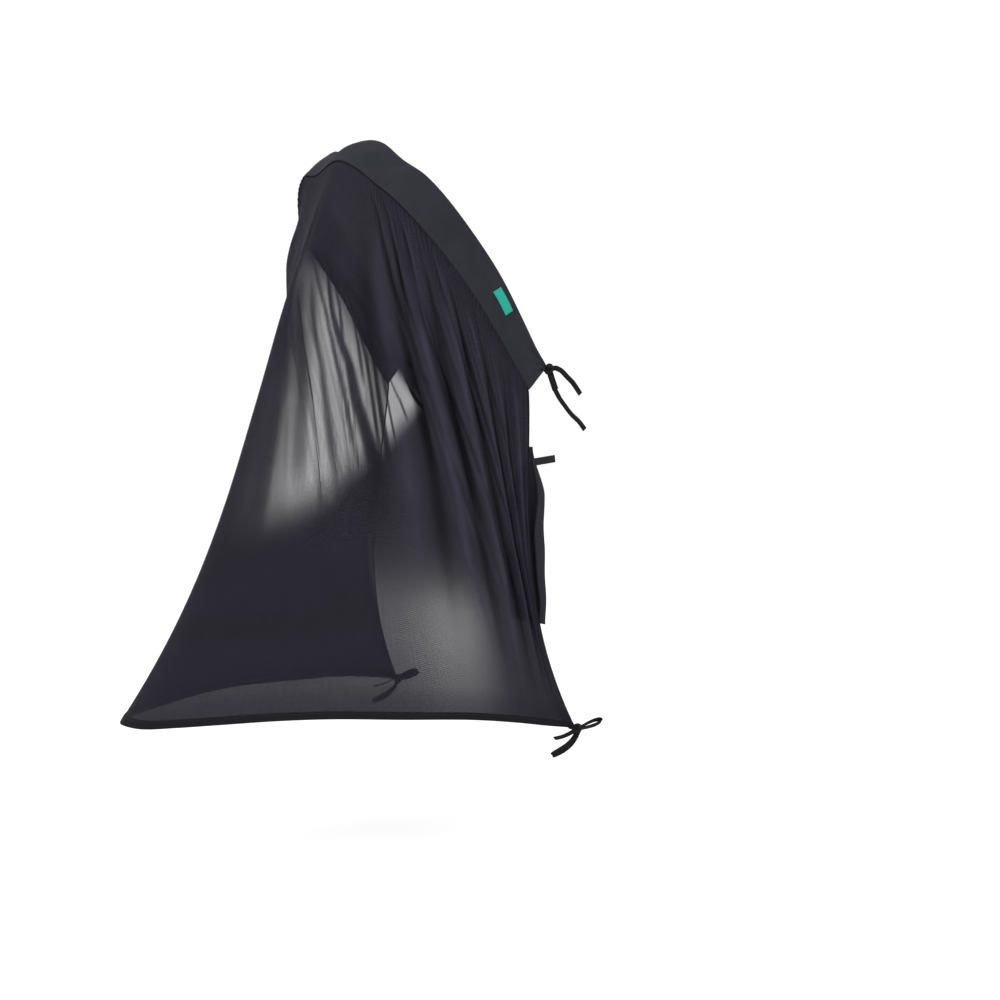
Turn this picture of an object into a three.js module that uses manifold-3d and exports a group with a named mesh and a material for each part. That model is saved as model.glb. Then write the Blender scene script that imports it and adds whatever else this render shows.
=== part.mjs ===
// Sunshade net for a stroller, draped from the front rim of the canopy.
// Millimetres. +X is the near side, -Y the front, +Z up. The origin is under the band at its crown.
import * as THREE from 'three';
import { mergeVertices } from 'three/addons/utils/BufferGeometryUtils.js';
import Module from 'manifold-3d';

const NET_THICKNESS = 1.5;
const HEM_THICKNESS = 2.8;
const HEM_DEPTH = 10;
const NET_DROP = 780;
const BAND_THICKNESS = 1.8;
const BAND_CREST = 5;
const SEAM_GAP = 2;
const GAP = 0.35;
const TAPE_WIDTH = 7;
const TAPE_THICKNESS = 1.8;

// Canopy band, from its crown to the near knot. The seam joins the net, the edge is the rear one.
const BAND = [
  { seamX: 0, seamY: -24, seamZ: -19, edgeX: 0, edgeY: 19, edgeZ: 9 },
  { seamX: 60, seamY: -25, seamZ: -32, edgeX: 60, edgeY: 18, edgeZ: 2 },
  { seamX: 118, seamY: -25, seamZ: -57, edgeX: 118, edgeY: 19, edgeZ: -25 },
  { seamX: 163, seamY: -20, seamZ: -80, edgeX: 164, edgeY: 28, edgeZ: -48 },
  { seamX: 190, seamY: 0, seamZ: -112, edgeX: 188, edgeY: 44, edgeZ: -76 },
  { seamX: 199, seamY: 42, seamZ: -160, edgeX: 196, edgeY: 82, edgeZ: -124 },
  { seamX: 201, seamY: 87, seamZ: -216, edgeX: 199, edgeY: 123, edgeZ: -180 },
  { seamX: 201, seamY: 125, seamZ: -271, edgeX: 200, edgeY: 160, edgeZ: -243 },
  { seamX: 201, seamY: 168, seamZ: -337, edgeX: 202, edgeY: 188, edgeZ: -297 },
];

// Hem, from the front to the near rear tie
const HEM = [
  { x: 0, y: -350, z: -785 },
  { x: 36, y: -338, z: -786 },
  { x: 66, y: -300, z: -783 },
  { x: 97, y: -245, z: -779 },
  { x: 130, y: -180, z: -775 },
  { x: 160, y: -115, z: -774 },
  { x: 190, y: -29, z: -778 },
  { x: 220, y: 72, z: -783 },
  { x: 240, y: 129, z: -789 },
  { x: 250, y: 168, z: -795 },
  { x: 255, y: 204, z: -800 },
];

// Where the far half of the hoop isn't the mirror of the near one: the place round it, how far that
// reaches, the share that it is narrower by, and how much further back and higher it sits
const FAR_SIDE = [
  { at: 0.13, reach: 0.09, narrower: 0, back: 0, higher: -9 },
  { at: 0.27, reach: 0.12, narrower: 0, back: 6, higher: 20 },
  { at: 0.36, reach: 0.14, narrower: 0.11, back: 5, higher: 8 },
  { at: 0.62, reach: 0.17, narrower: 0.03, back: 6, higher: 6 },
];

// Fullness at the front corners, where the net leaves the hoop and falls clear of it
const CORNER = { at: 0.26, reach: 0.15, down: 0.18, drop: 0.2, out: 24 };

// How far the net is drawn in, part way down, at its front and at its rear edges
const DRAWN_IN = {
  front: 36, frontReach: 0.4, frontLow: 1.7,
  rear: 31, rearReach: 0.45, rearLow: 1.3,
};

// The hem takes up the net's width faster towards the front than towards the ties
const GATHER = { power: 4.2, even: 0.12 };

// Folds of the near side: where each leaves the seam and meets the hem, as shares of the way round,
// the part of the drop that it takes, its half width as such a share, and its height in millimetres
const FOLDS = [
  { top: 0.19, foot: 0.19, from: 0.03, to: 0.8, reach: 0.03, rise: -5 },
  { top: 0.26, foot: 0.27, from: 0.02, to: 0.85, reach: 0.024, rise: 6 },
  { top: 0.33, foot: 0.34, from: 0.02, to: 0.9, reach: 0.022, rise: -7 },
  { top: 0.395, foot: 0.41, from: 0.02, to: 0.97, reach: 0.02, rise: 8 },
  { top: 0.45, foot: 0.47, from: 0.03, to: 0.97, reach: 0.018, rise: -7 },
  { top: 0.51, foot: 0.53, from: 0.02, to: 0.98, reach: 0.019, rise: 8 },
  { top: 0.57, foot: 0.59, from: 0.03, to: 0.98, reach: 0.018, rise: -7 },
  { top: 0.63, foot: 0.65, from: 0.02, to: 0.98, reach: 0.018, rise: 7 },
  { top: 0.7, foot: 0.71, from: 0.04, to: 0.98, reach: 0.018, rise: -7 },
  { top: 0.77, foot: 0.78, from: 0.03, to: 0.98, reach: 0.018, rise: 6 },
  { top: 0.84, foot: 0.85, from: 0.05, to: 0.98, reach: 0.018, rise: -6 },
  { top: 0.91, foot: 0.91, from: 0.04, to: 0.98, reach: 0.018, rise: 5 },
];

// Soft folds of the front panel, which fan down from below the crown
const FRONT_FOLDS = [
  { top: -0.14, foot: -0.15, from: 0.12, to: 0.75, reach: 0.03, rise: 3 },
  { top: -0.07, foot: -0.07, from: 0.1, to: 0.7, reach: 0.026, rise: -4 },
  { top: -0.01, foot: -0.01, from: 0.1, to: 0.75, reach: 0.026, rise: 4 },
  { top: 0.05, foot: 0.05, from: 0.12, to: 0.7, reach: 0.024, rise: -4 },
  { top: 0.11, foot: 0.11, from: 0.12, to: 0.66, reach: 0.024, rise: 4 },
];

// The far side is folded like the near one from the third fold on, softer and out of step with it
const FAR_FOLDS = FOLDS.slice(2).map((fold) => ({
  ...fold, top: -fold.top - 0.02, foot: -fold.foot - 0.01, rise: 0.8 * fold.rise,
}));
const ALL_FOLDS = [...FOLDS, ...FRONT_FOLDS, ...FAR_FOLDS];

// Label at the band's rear edge: its ends round the band, its sides across it and its stand-off
const LABEL = { from: 0.745, to: 0.812, outer: 0.1, inner: 0.38, thickness: 1 };

// Storage pouch: it hangs limp in upright pleats from the net's near rear edge
const POUCH = {
  top: -415, bottom: -660, outerX: 210.4, depth: 70, pleats: 2.5, swing: 17, thickness: 2.4,
  centreTop: 166.8, centreMiddle: 174, centreBottom: 179, topDepth: 8, topSwing: 3, lobe: 3,
};
const LOOP_TAB = { x: 207.6, startY: 178.5, length: 28, topZ: -431, height: 10.5, rise: 4, thickness: 1.6 };

// Knots: centre, half sizes and the ridges that their turns of tape make
const UPPER_KNOT = { centre: [205, 198.5, -308.6], half: [7, 9, 9.5], turns: 3, ridge: 0.1 };
const UPPER_WRAP = { centre: [208, 201.5, -325.7], half: [4.2, 4.8, 13], turns: 2, ridge: 0.12, lean: 0.45 };
const UPPER_NECK = { centre: [201.8, 188.4, -308.1], half: [3.6, 5, 10], turns: 2, ridge: 0.1, lean: -0.47 };
const LOWER_KNOT = { centre: [257.5, 212.4, -803], half: [7.5, 9, 7.5], turns: 3, ridge: 0.1 };

// Routes of the tie ends, of the two loops of the lower bow, and of its thin end
const UPPER_LONG_END = [
  [208.25, 206.3, -336.7], [210.4, 211.7, -348], [213, 219.2, -359], [214, 229.3, -371],
  [214, 242.4, -382], [213, 252.5, -393],
];
const UPPER_SHORT_END = [
  [207, 208.7, -307.5], [211, 214.1, -310.6], [213, 223.2, -319.6], [213, 232.3, -327.7],
  [212, 240.4, -336.8], [211, 246.4, -343.8],
];
const BOW_REAR = { root: [258.5, 213, -803], tip: [261, 249, -794] };
const BOW_FRONT = { root: [258.5, 213, -805], tip: [261, 170, -835] };
const THIN_END = { root: [262, 208, -803], tip: [263, 172, -812] };
const BOW_GAP = 3.4;
const THIN_END_SAG = 2;

const mix = THREE.MathUtils.lerp;
const smooth = THREE.MathUtils.smoothstep;

function curveThrough(points) {
  const curve = new THREE.CatmullRomCurve3(points, false, 'centripetal');
  curve.arcLengthDivisions = 400;
  return curve;
}

// A curve over both sides, from the points of its near half
function wholeCurve(nearHalf) {
  const farHalf = nearHalf.slice(1).reverse().map(([x, y, z]) => [-x, y, z]);
  return curveThrough([...farHalf, ...nearHalf].map((spot) => new THREE.Vector3(...spot)));
}

const seamCurve = wholeCurve(BAND.map((row) => [row.seamX, row.seamY, row.seamZ]));
const edgeCurve = wholeCurve(BAND.map((row) => [row.edgeX, row.edgeY, row.edgeZ]));
const hemCurve = wholeCurve(HEM.map((row) => [row.x, row.y, row.z]));

// A point of a whole curve. around runs from -1, far, to 1, near, with 0 at the front.
function onCurve(curve, around) {
  return curve.getPointAt(THREE.MathUtils.clamp((around + 1) / 2, 0, 1));
}

// The same on the canopy's hoop, whose far half isn't quite the mirror of the near one
function onHoop(curve, around) {
  const point = onCurve(curve, around);
  for (const { at, reach, narrower, back, higher } of FAR_SIDE) {
    const bump = Math.exp(-(((around + at) / reach) ** 2));
    point.x *= 1 - narrower * bump;
    point.y += back * bump;
    point.z += higher * bump;
  }
  return point;
}

function normalOf(place, around, down) {
  const step = 1e-3;
  const right = place(around + step, down).sub(place(around - step, down));
  const low = Math.min(down + step, 1);
  const high = Math.max(down - step, 0);
  const fall = place(around, low).sub(place(around, high));
  return fall.cross(right).normalize();
}

// A closed sheet. place gives its middle surface, columns and rows the places of its grid.
function sheetGeometry(place, columns, rows, thickness, lift = 0) {
  const box = new THREE.BoxGeometry(1, 1, 1, columns.length - 1, rows.length - 1, 1);
  box.deleteAttribute('normal');
  box.deleteAttribute('uv');
  const geometry = mergeVertices(box, 1e-3);
  const spots = geometry.attributes.position;
  for (let i = 0; i < spots.count; i++) {
    const around = columns[Math.round((spots.getX(i) + 0.5) * (columns.length - 1))];
    const down = rows[Math.round((0.5 - spots.getY(i)) * (rows.length - 1))];
    const offset = lift + spots.getZ(i) * thickness(around, down);
    const point = place(around, down).addScaledVector(normalOf(place, around, down), offset);
    spots.setXYZ(i, point.x, point.y, point.z);
  }
  geometry.computeVertexNormals();
  return geometry;
}

// Evenly spaced numbers from one value to another, both included
function spread(from, to, count) {
  return Array.from({ length: count }, (_, i) => mix(from, to, i / (count - 1)));
}

// Canopy band
function bandPoint(around, down) {
  const edge = onHoop(edgeCurve, around);
  const seam = onHoop(seamCurve, around);
  const next = onHoop(seamCurve, around + (around < 0 ? 0.01 : -0.01));
  const along = around < 0 ? next.sub(seam) : seam.clone().sub(next);
  const outward = seam.clone().sub(edge).cross(along).normalize();
  const crest = BAND_CREST * mix(1, 0.5, Math.abs(around)) * Math.sin(Math.PI * down);
  return edge.lerp(seam, down).addScaledVector(outward, crest);
}

// 0 at both ends of a drop and 1 half way down
function belly(down) {
  return 4 * down * (1 - down);
}

// Net
function netBase(around, down) {
  const share = Math.min(Math.abs(around), 1);
  const gathered = mix(1 - (1 - share) ** GATHER.power, share, GATHER.even);
  const top = onHoop(seamCurve, around);
  const foot = onCurve(hemCurve, Math.sign(around) * gathered);
  const drop = foot.clone().sub(top);
  const start = SEAM_GAP / drop.length();
  const point = top.addScaledVector(drop, mix(start, 1, down));
  const front = DRAWN_IN.front * (1 - smooth(share, 0, DRAWN_IN.frontReach));
  const rear = DRAWN_IN.rear * smooth(share, 1 - DRAWN_IN.rearReach, 1);
  point.y += front * belly(down ** DRAWN_IN.frontLow) - rear * belly(down ** DRAWN_IN.rearLow);
  const aside = (share - CORNER.at) / CORNER.reach;
  const below = (down - CORNER.down) / CORNER.drop;
  const full = Math.exp(-aside * aside - below * below);
  const out = CORNER.out * full * smooth(down, 0, CORNER.down);
  point.x += Math.sign(around) * Math.SQRT1_2 * out;
  point.y -= Math.SQRT1_2 * out;
  return point;
}

function foldHeight(fold, around, down) {
  const centre = mix(fold.top, fold.foot, smooth(down, 0, 1));
  const away = (around - centre) / fold.reach;
  const grown = smooth(down, fold.from, fold.from + 0.22);
  const gone = smooth(down, fold.to - 0.3, fold.to);
  return fold.rise * Math.exp(-away * away) * grown * (1 - gone);
}

function netPoint(around, down) {
  const height = ALL_FOLDS.reduce((sum, fold) => sum + foldHeight(fold, around, down), 0);
  const edge = 1 - smooth(Math.abs(around), 0.97, 1);
  return netBase(around, down).addScaledVector(normalOf(netBase, around, down), height * edge);
}

// Pouch: the middle of its two layers, pleated to and fro. around runs inwards from the net's edge.
function pouchPoint(around, down) {
  const full = smooth(down, 0, 0.28);
  const swing = mix(POUCH.topSwing, POUCH.swing, full);
  const centre = mix(mix(POUCH.centreTop, POUCH.centreMiddle, full), POUCH.centreBottom, down * down);
  const pleat = Math.sin(2 * Math.PI * POUCH.pleats * around);
  const lobe = POUCH.lobe * pleat * smooth(down, 0.7, 1);
  return new THREE.Vector3(
    POUCH.outerX - mix(POUCH.topDepth, POUCH.depth, smooth(down, 0, 0.35)) * around,
    centre + swing * pleat,
    mix(POUCH.top, POUCH.bottom, down) - lobe,
  );
}

function loopTabPoint(around, down) {
  return new THREE.Vector3(
    LOOP_TAB.x + 2 * Math.sin(Math.PI * around),
    LOOP_TAB.startY + LOOP_TAB.length * around,
    LOOP_TAB.topZ + LOOP_TAB.rise * around - LOOP_TAB.height * down,
  );
}

// Ties. side is 1 for the near ones and -1 for the far ones.
const wasm = await Module();
wasm.setup();

function onSide([x, y, z], side) {
  return new THREE.Vector3(side * x, y, z);
}

function knotGeometry({ centre, half, turns, ridge }, side, lean = 0) {
  const ball = new THREE.SphereGeometry(1, 12, 8);
  ball.deleteAttribute('normal');
  ball.deleteAttribute('uv');
  const geometry = mergeVertices(ball, 1e-3);
  const spots = geometry.attributes.position;
  for (let i = 0; i < spots.count; i++) {
    const spot = new THREE.Vector3().fromBufferAttribute(spots, i);
    const round = Math.atan2(spot.z, spot.x);
    const swell = 1 + ridge * Math.cos(turns * round + 3 * spot.y) * (1 - spot.y * spot.y);
    spots.setXYZ(i, half[0] * swell * spot.x, half[1] * swell * spot.y, half[2] * swell * spot.z);
  }
  geometry.rotateX(lean);
  const place = onSide(centre, side);
  geometry.translate(place.x, place.y, place.z);
  return geometry;
}

// A flat tape along a route, with its width in the upright plane that the route runs in
function tapeGeometry(route, side, steps) {
  const section = new THREE.Shape();
  const corner = TAPE_THICKNESS / 3;
  const thick = TAPE_THICKNESS / 2;
  const wide = TAPE_WIDTH / 2;
  section.moveTo(thick, wide - corner);
  section.lineTo(corner / 2, wide);
  section.lineTo(-corner / 2, wide);
  section.lineTo(-thick, wide - corner);
  section.lineTo(-thick, corner - wide);
  section.lineTo(-corner / 2, -wide);
  section.lineTo(corner / 2, -wide);
  section.lineTo(thick, corner - wide);
  section.closePath();
  const extrudePath = curveThrough(route.map((spot) => onSide(spot, side)));
  return new THREE.ExtrudeGeometry(section, { steps, bevelEnabled: false, extrudePath });
}

// A strip of tape whose width runs across the part, along a route given by a function
function edgeOnTape(route, from, to, count) {
  const place = (around, down) => route(around).add(new THREE.Vector3((down - 0.5) * TAPE_WIDTH, 0, 0));
  return sheetGeometry(place, spread(from, to, count), [0, 1], () => TAPE_THICKNESS);
}

// A loop of the bow: it leaves the knot, turns round at its tip and comes back
function bowLoop({ root, tip }, side) {
  const start = onSide(root, side);
  const reach = onSide(tip, side).sub(start);
  const across = new THREE.Vector3(1, 0, 0).cross(reach).setLength((BOW_GAP + TAPE_THICKNESS) / 2);
  const route = (turn) => start.clone()
    .addScaledVector(reach, (1 - Math.cos(2 * Math.PI * turn)) / 2)
    .addScaledVector(across, Math.sin(2 * Math.PI * turn));
  return edgeOnTape(route, 0.08, 0.92, 13);
}

function thinEnd({ root, tip }, side) {
  const start = onSide(root, side);
  const reach = onSide(tip, side).sub(start);
  const sag = new THREE.Vector3(0, 0, -THIN_END_SAG);
  const route = (share) => start.clone().addScaledVector(reach, share)
    .addScaledVector(sag, Math.sin(Math.PI * share));
  return edgeOnTape(route, 0, 1, 6);
}

// Closed pieces of one tape joined into one solid
function joined(geometries) {
  const whole = geometries.map((piece) => {
    const geometry = piece.clone();
    geometry.deleteAttribute('normal');
    return new wasm.Manifold(new wasm.Mesh({
      numProp: 3,
      vertProperties: new Float32Array(geometry.attributes.position.array),
      triVerts: new Uint32Array(geometry.index.array),
    }));
  }).reduce((sum, piece) => sum.add(piece));
  const { vertProperties, triVerts } = whole.getMesh();
  const geometry = new THREE.BufferGeometry();
  geometry.setAttribute('position', new THREE.BufferAttribute(vertProperties, 3));
  geometry.setIndex(new THREE.BufferAttribute(triVerts, 1));
  geometry.computeVertexNormals();
  return geometry;
}

const group = new THREE.Group();

function add(name, geometry, colour, roughness) {
  const material = new THREE.MeshStandardMaterial({ color: colour, roughness, metalness: 0 });
  const mesh = new THREE.Mesh(geometry, material);
  mesh.name = name;
  group.add(mesh);
}

const BAND_COLOUR = 0x26272e;
const NET_COLOUR = 0x2b2b35;
const TAPE_COLOUR = 0x141515;
const POUCH_COLOUR = 0x1e1f24;
const LABEL_COLOUR = 0x2bb5a0;

// The columns lie closer together round the hoop's corners
const bandColumns = [
  ...spread(-1, -0.55, 10), ...spread(-0.525, -0.15, 20), ...spread(-0.12, 0.12, 7),
  ...spread(0.15, 0.525, 20), ...spread(0.55, 1, 10),
];
add('canopy_band', sheetGeometry(bandPoint, bandColumns, spread(0, 1, 5), () => BAND_THICKNESS),
  BAND_COLOUR, 0.9);

const labelStandOff = (BAND_THICKNESS + LABEL.thickness) / 2 + GAP;
add('side_label', sheetGeometry(bandPoint, spread(LABEL.from, LABEL.to, 5),
  spread(LABEL.outer, LABEL.inner, 3), () => LABEL.thickness, labelStandOff), LABEL_COLOUR, 0.6);

const netColumns = [
  ...spread(-1, -0.33, 34), ...spread(-0.315, 0.3, 38), ...spread(0.3125, 1, 56),
];
const hemStart = 1 - HEM_DEPTH / NET_DROP;
const netRows = [...spread(0, 0.94, 12), hemStart - 0.004, hemStart, 1];
const netThickness = (around, down) => (down < hemStart ? NET_THICKNESS : HEM_THICKNESS);
add('sun_net', sheetGeometry(netPoint, netColumns, netRows, netThickness), NET_COLOUR, 0.9);

add('storage_pouch', sheetGeometry(pouchPoint, spread(0, 1, 26), spread(0, 1, 9),
  () => POUCH.thickness), POUCH_COLOUR, 0.9);
add('pouch_loop', sheetGeometry(loopTabPoint, spread(0, 1, 6), [0, 1],
  () => LOOP_TAB.thickness), POUCH_COLOUR, 0.9);

for (const [place, side] of [['near', 1], ['far', -1]]) {
  add(`upper_knot_${place}`, joined([
    knotGeometry(UPPER_KNOT, side), knotGeometry(UPPER_WRAP, side, UPPER_WRAP.lean),
    knotGeometry(UPPER_NECK, side, UPPER_NECK.lean),
  ]), TAPE_COLOUR, 0.85);
  add(`upper_long_end_${place}`, tapeGeometry(UPPER_LONG_END, side, 10), TAPE_COLOUR, 0.85);
  add(`upper_short_end_${place}`, tapeGeometry(UPPER_SHORT_END, side, 9), TAPE_COLOUR, 0.85);
  add(`lower_bow_${place}`, joined([
    knotGeometry(LOWER_KNOT, side), bowLoop(BOW_REAR, side), bowLoop(BOW_FRONT, side),
    thinEnd(THIN_END, side),
  ]), TAPE_COLOUR, 0.85);
}

export default group;
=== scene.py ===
"""Sunshade net with its rim band, tape ties, hems, label and limp pouch.

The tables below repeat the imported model's sizes in millimetres, and MM turns them to metres. +X is
the near side, -Y the front and +Z up. Cloth is laid out by two shares: around, from -1 on the far
side over 0 at the front to 1 on the near side, and down, from 0 at its top to 1 at its foot.
"""
from __future__ import annotations

import logging
import math
import random
from collections.abc import Callable, Sequence
from dataclasses import dataclass, field
from enum import Enum

import bmesh
import bpy
import numpy as np
from bpy.types import Material, Mesh, Node, NodeSocket, Object
from mathutils import Matrix, Vector

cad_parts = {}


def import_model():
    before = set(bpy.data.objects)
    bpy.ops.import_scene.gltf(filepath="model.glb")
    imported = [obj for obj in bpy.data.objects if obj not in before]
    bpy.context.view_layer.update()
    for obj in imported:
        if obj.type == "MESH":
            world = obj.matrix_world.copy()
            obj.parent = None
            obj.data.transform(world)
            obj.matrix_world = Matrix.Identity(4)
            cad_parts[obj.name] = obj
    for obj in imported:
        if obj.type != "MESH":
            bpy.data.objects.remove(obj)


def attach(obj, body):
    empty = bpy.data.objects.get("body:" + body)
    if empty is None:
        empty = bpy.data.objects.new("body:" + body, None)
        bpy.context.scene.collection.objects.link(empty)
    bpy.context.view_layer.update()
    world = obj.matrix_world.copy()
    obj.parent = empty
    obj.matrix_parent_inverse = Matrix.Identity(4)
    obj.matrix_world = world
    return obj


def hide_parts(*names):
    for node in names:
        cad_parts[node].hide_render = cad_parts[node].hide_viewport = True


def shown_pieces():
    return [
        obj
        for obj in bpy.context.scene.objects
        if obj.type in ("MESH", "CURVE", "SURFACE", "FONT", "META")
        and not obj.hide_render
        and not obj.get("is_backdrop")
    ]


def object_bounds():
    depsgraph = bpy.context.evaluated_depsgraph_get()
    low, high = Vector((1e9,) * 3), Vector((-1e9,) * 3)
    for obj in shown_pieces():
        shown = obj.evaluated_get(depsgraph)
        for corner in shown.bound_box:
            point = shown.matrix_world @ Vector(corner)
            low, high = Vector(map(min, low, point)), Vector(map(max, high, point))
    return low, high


LOG = logging.getLogger("sunshade")
MM = 0.001

NET_DROP = 780
HEM_DEPTH = 10
SEAM_GAP = 2
BAND_CREST = 5
BAND_FALL = 48
HALF_SEAM = 500
TAPE_WIDTH = 7
UPPER_KNOT = (205, 198.5, -308.6)
LOWER_KNOT = (257.5, 212.4, -803)
HEM_SHARE = HEM_DEPTH / NET_DROP
SIDES = (("near", 1), ("far", -1))
ACROSS = np.array((1.0, 0.0, 0.0))

# Rim band from its crown to the near knot: the seam that joins the net, then the rear edge
BAND = (
    ((0, -24, -19), (0, 19, 9)),
    ((60, -25, -32), (60, 18, 2)),
    ((118, -25, -57), (118, 19, -25)),
    ((163, -20, -80), (164, 28, -48)),
    ((190, 0, -112), (188, 44, -76)),
    ((199, 42, -160), (196, 82, -124)),
    ((201, 87, -216), (199, 123, -180)),
    ((201, 125, -271), (200, 160, -243)),
    ((201, 168, -337), (202, 188, -297)),
)

# Hem from the front to the near rear tie
HEM = (
    (0, -350, -785), (36, -338, -786), (66, -300, -783), (97, -245, -779), (130, -180, -775),
    (160, -115, -774), (190, -29, -778), (220, 72, -783), (240, 129, -789), (250, 168, -795),
    (255, 204, -800),
)


@dataclass(frozen=True)
class FarSide:
    """Where the far half of the hoop isn't the mirror of the near one."""

    at: float
    reach: float
    narrower: float
    back: float
    higher: float


FAR_SIDE = (
    FarSide(at=0.13, reach=0.09, narrower=0, back=0, higher=-9),
    FarSide(at=0.27, reach=0.12, narrower=0, back=6, higher=20),
    FarSide(at=0.36, reach=0.14, narrower=0.11, back=5, higher=8),
    FarSide(at=0.62, reach=0.17, narrower=0.03, back=6, higher=6),
)


@dataclass(frozen=True)
class Fold:
    """A fold of the net: its way down, its half width as a share of the way round, its height."""

    top: float
    foot: float
    start: float
    end: float
    reach: float
    rise: float


MAIN_FOLDS = (
    Fold(0.19, 0.19, 0.03, 0.8, 0.03, -5),
    Fold(0.26, 0.27, 0.02, 0.85, 0.024, 6),
    Fold(0.33, 0.34, 0.02, 0.9, 0.022, -7),
    Fold(0.395, 0.41, 0.02, 0.97, 0.02, 8),
    Fold(0.45, 0.47, 0.03, 0.97, 0.018, -7),
    Fold(0.51, 0.53, 0.02, 0.98, 0.019, 8),
    Fold(0.57, 0.59, 0.03, 0.98, 0.018, -7),
    Fold(0.63, 0.65, 0.02, 0.98, 0.018, 7),
    Fold(0.7, 0.71, 0.04, 0.98, 0.018, -7),
    Fold(0.77, 0.78, 0.03, 0.98, 0.018, 6),
    Fold(0.84, 0.85, 0.05, 0.98, 0.018, -6),
    Fold(0.91, 0.91, 0.04, 0.98, 0.018, 5),
)
FRONT_FOLDS = (
    Fold(-0.14, -0.15, 0.12, 0.75, 0.03, 3),
    Fold(-0.07, -0.07, 0.1, 0.7, 0.026, -4),
    Fold(-0.01, -0.01, 0.1, 0.75, 0.026, 4),
    Fold(0.05, 0.05, 0.12, 0.7, 0.024, -4),
    Fold(0.11, 0.11, 0.12, 0.66, 0.024, 4),
)
FAR_FOLDS = tuple(
    Fold(-fold.top - 0.02, -fold.foot - 0.01, fold.start, fold.end, fold.reach, 0.8 * fold.rise)
    for fold in MAIN_FOLDS[2:]
)
FOLDS = (*MAIN_FOLDS, *FRONT_FOLDS, *FAR_FOLDS)


@dataclass(frozen=True)
class Crease:
    """A narrow pleat that the main folds leave in the net.

    Attributes:
        path: places down, each with the place round there.
        reach: half its width as a share of the way round, at its start and at its end.
        rise: its height in millimetres.
        dark: how much more closed its doubled cloth is.
    """

    path: tuple[tuple[float, float], ...]
    reach: tuple[float, float]
    rise: float = 1.2
    dark: float = 2.2


# Pleats of the sheer front panel, which fan out from below the hoop's far corner
PANEL_CREASES = (
    Crease(((0.17, 0.06), (0.2, 0.073), (0.265, 0.095), (0.32, 0.12), (0.36, 0.138), (0.42, 0.15),
           (0.5, 0.175), (0.6, 0.2)), (0.003, 0.016), 1.8, 3.0),
    Crease(((0.16, 0.015), (0.175, 0.025), (0.21, 0.047), (0.265, 0.077), (0.32, 0.1), (0.375, 0.118),
           (0.425, 0.13), (0.56, 0.155)), (0.003, 0.004)),
    Crease(((0.2, 0.03), (0.215, 0.035), (0.295, 0.057), (0.365, 0.082), (0.43, 0.095), (0.6, 0.125)),
           (0.004, 0.008), 1.4, 1.1),
    Crease(((0.2, 0.01), (0.25, 0.02), (0.355, 0.045), (0.43, 0.057), (0.62, 0.075)), (0.006, 0.01), 1.6,
           1.0),
    Crease(((0.3, 0.012), (0.395, 0.025), (0.49, 0.028), (0.57, 0.03), (0.7, 0.036)), (0.006, 0.009), 1.6,
           1.0),
    Crease(((0.2, 0.088), (0.235, 0.105), (0.26, 0.115), (0.33, 0.126)), (0.0025, 0.0035)),
    Crease(((0.225, 0.122), (0.245, 0.136), (0.28, 0.15), (0.32, 0.158), (0.4, 0.168)), (0.0025, 0.003)),
    Crease(((0.26, 0.148), (0.295, 0.163), (0.34, 0.175), (0.395, 0.183), (0.53, 0.197)), (0.003, 0.0045)),
    Crease(((0.28, 0.175), (0.305, 0.187), (0.35, 0.196), (0.395, 0.2), (0.46, 0.208), (0.56, 0.222)),
           (0.003, 0.009), 1.6, 3.0),
    Crease(((0.31, 0.202), (0.33, 0.212), (0.405, 0.228), (0.5, 0.24)), (0.0025, 0.0035)),
    Crease(((0.34, 0.235), (0.365, 0.25), (0.4, 0.272), (0.44, 0.285)), (0.0025, 0.0035)),
)
# Sharp troughs between the near side's folds, which lean back towards the lower tie
SIDE_CREASES = (
    Crease(((0.0, 0.2), (0.055, 0.25), (0.13, 0.288), (0.2, 0.303), (0.3, 0.312), (0.55, 0.335)),
           (0.009, 0.014), -3.0, 1.0),
    Crease(((0.0, 0.262), (0.04, 0.3), (0.12, 0.33), (0.24, 0.355)), (0.006, 0.008), -2.2, 1.0),
    Crease(((0.0, 0.345), (0.08, 0.38), (0.155, 0.4), (0.24, 0.427), (0.4, 0.46), (0.6, 0.5)),
           (0.006, 0.009), -2.6, 1.0),
    Crease(((0.12, 0.385), (0.22, 0.4), (0.28, 0.43), (0.33, 0.46), (0.44, 0.5), (0.5, 0.52), (0.75, 0.58)),
           (0.006, 0.008), -2.4, 1.0),
    Crease(((0.0, 0.475), (0.1, 0.503), (0.2, 0.53), (0.28, 0.565), (0.38, 0.595), (0.47, 0.62),
           (0.8, 0.7)), (0.006, 0.009), -3.0, 1.0),
    Crease(((0.0, 0.665), (0.12, 0.69), (0.2, 0.73), (0.3, 0.77), (0.38, 0.8), (0.7, 0.88)), (0.006, 0.009),
           -2.6, 1.0),
)

Array = np.ndarray
Places = Callable[[Array, Array], Array]


def smooth(value: Array, low: float, high: float) -> Array:
    """Smooth step from 0 at low to 1 at high."""
    share = np.clip((value - low) / (high - low), 0.0, 1.0)
    return share * share * (3 - 2 * share)


def mix(low: Array | float, high: Array | float, share: Array | float) -> Array:
    """Straight mix of two values."""
    return low + (high - low) * share


def unit(vectors: Array) -> Array:
    """Rows of an array, each made one long."""
    return vectors / np.maximum(np.linalg.norm(vectors, axis=-1, keepdims=True), 1e-12)


def bell(value: Array, middle: Array | float, reach: float, power: int = 2) -> Array:
    """Hump that is 1 at its middle and has fallen to 1 / e at its reach."""
    return np.exp(-((value - middle) / reach) ** power)


def lengths_along(points: Array) -> Array:
    """The length of a line up to each of its points."""
    return np.concatenate(([0.0], np.cumsum(np.linalg.norm(np.diff(points, axis=0), axis=1))))


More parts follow.
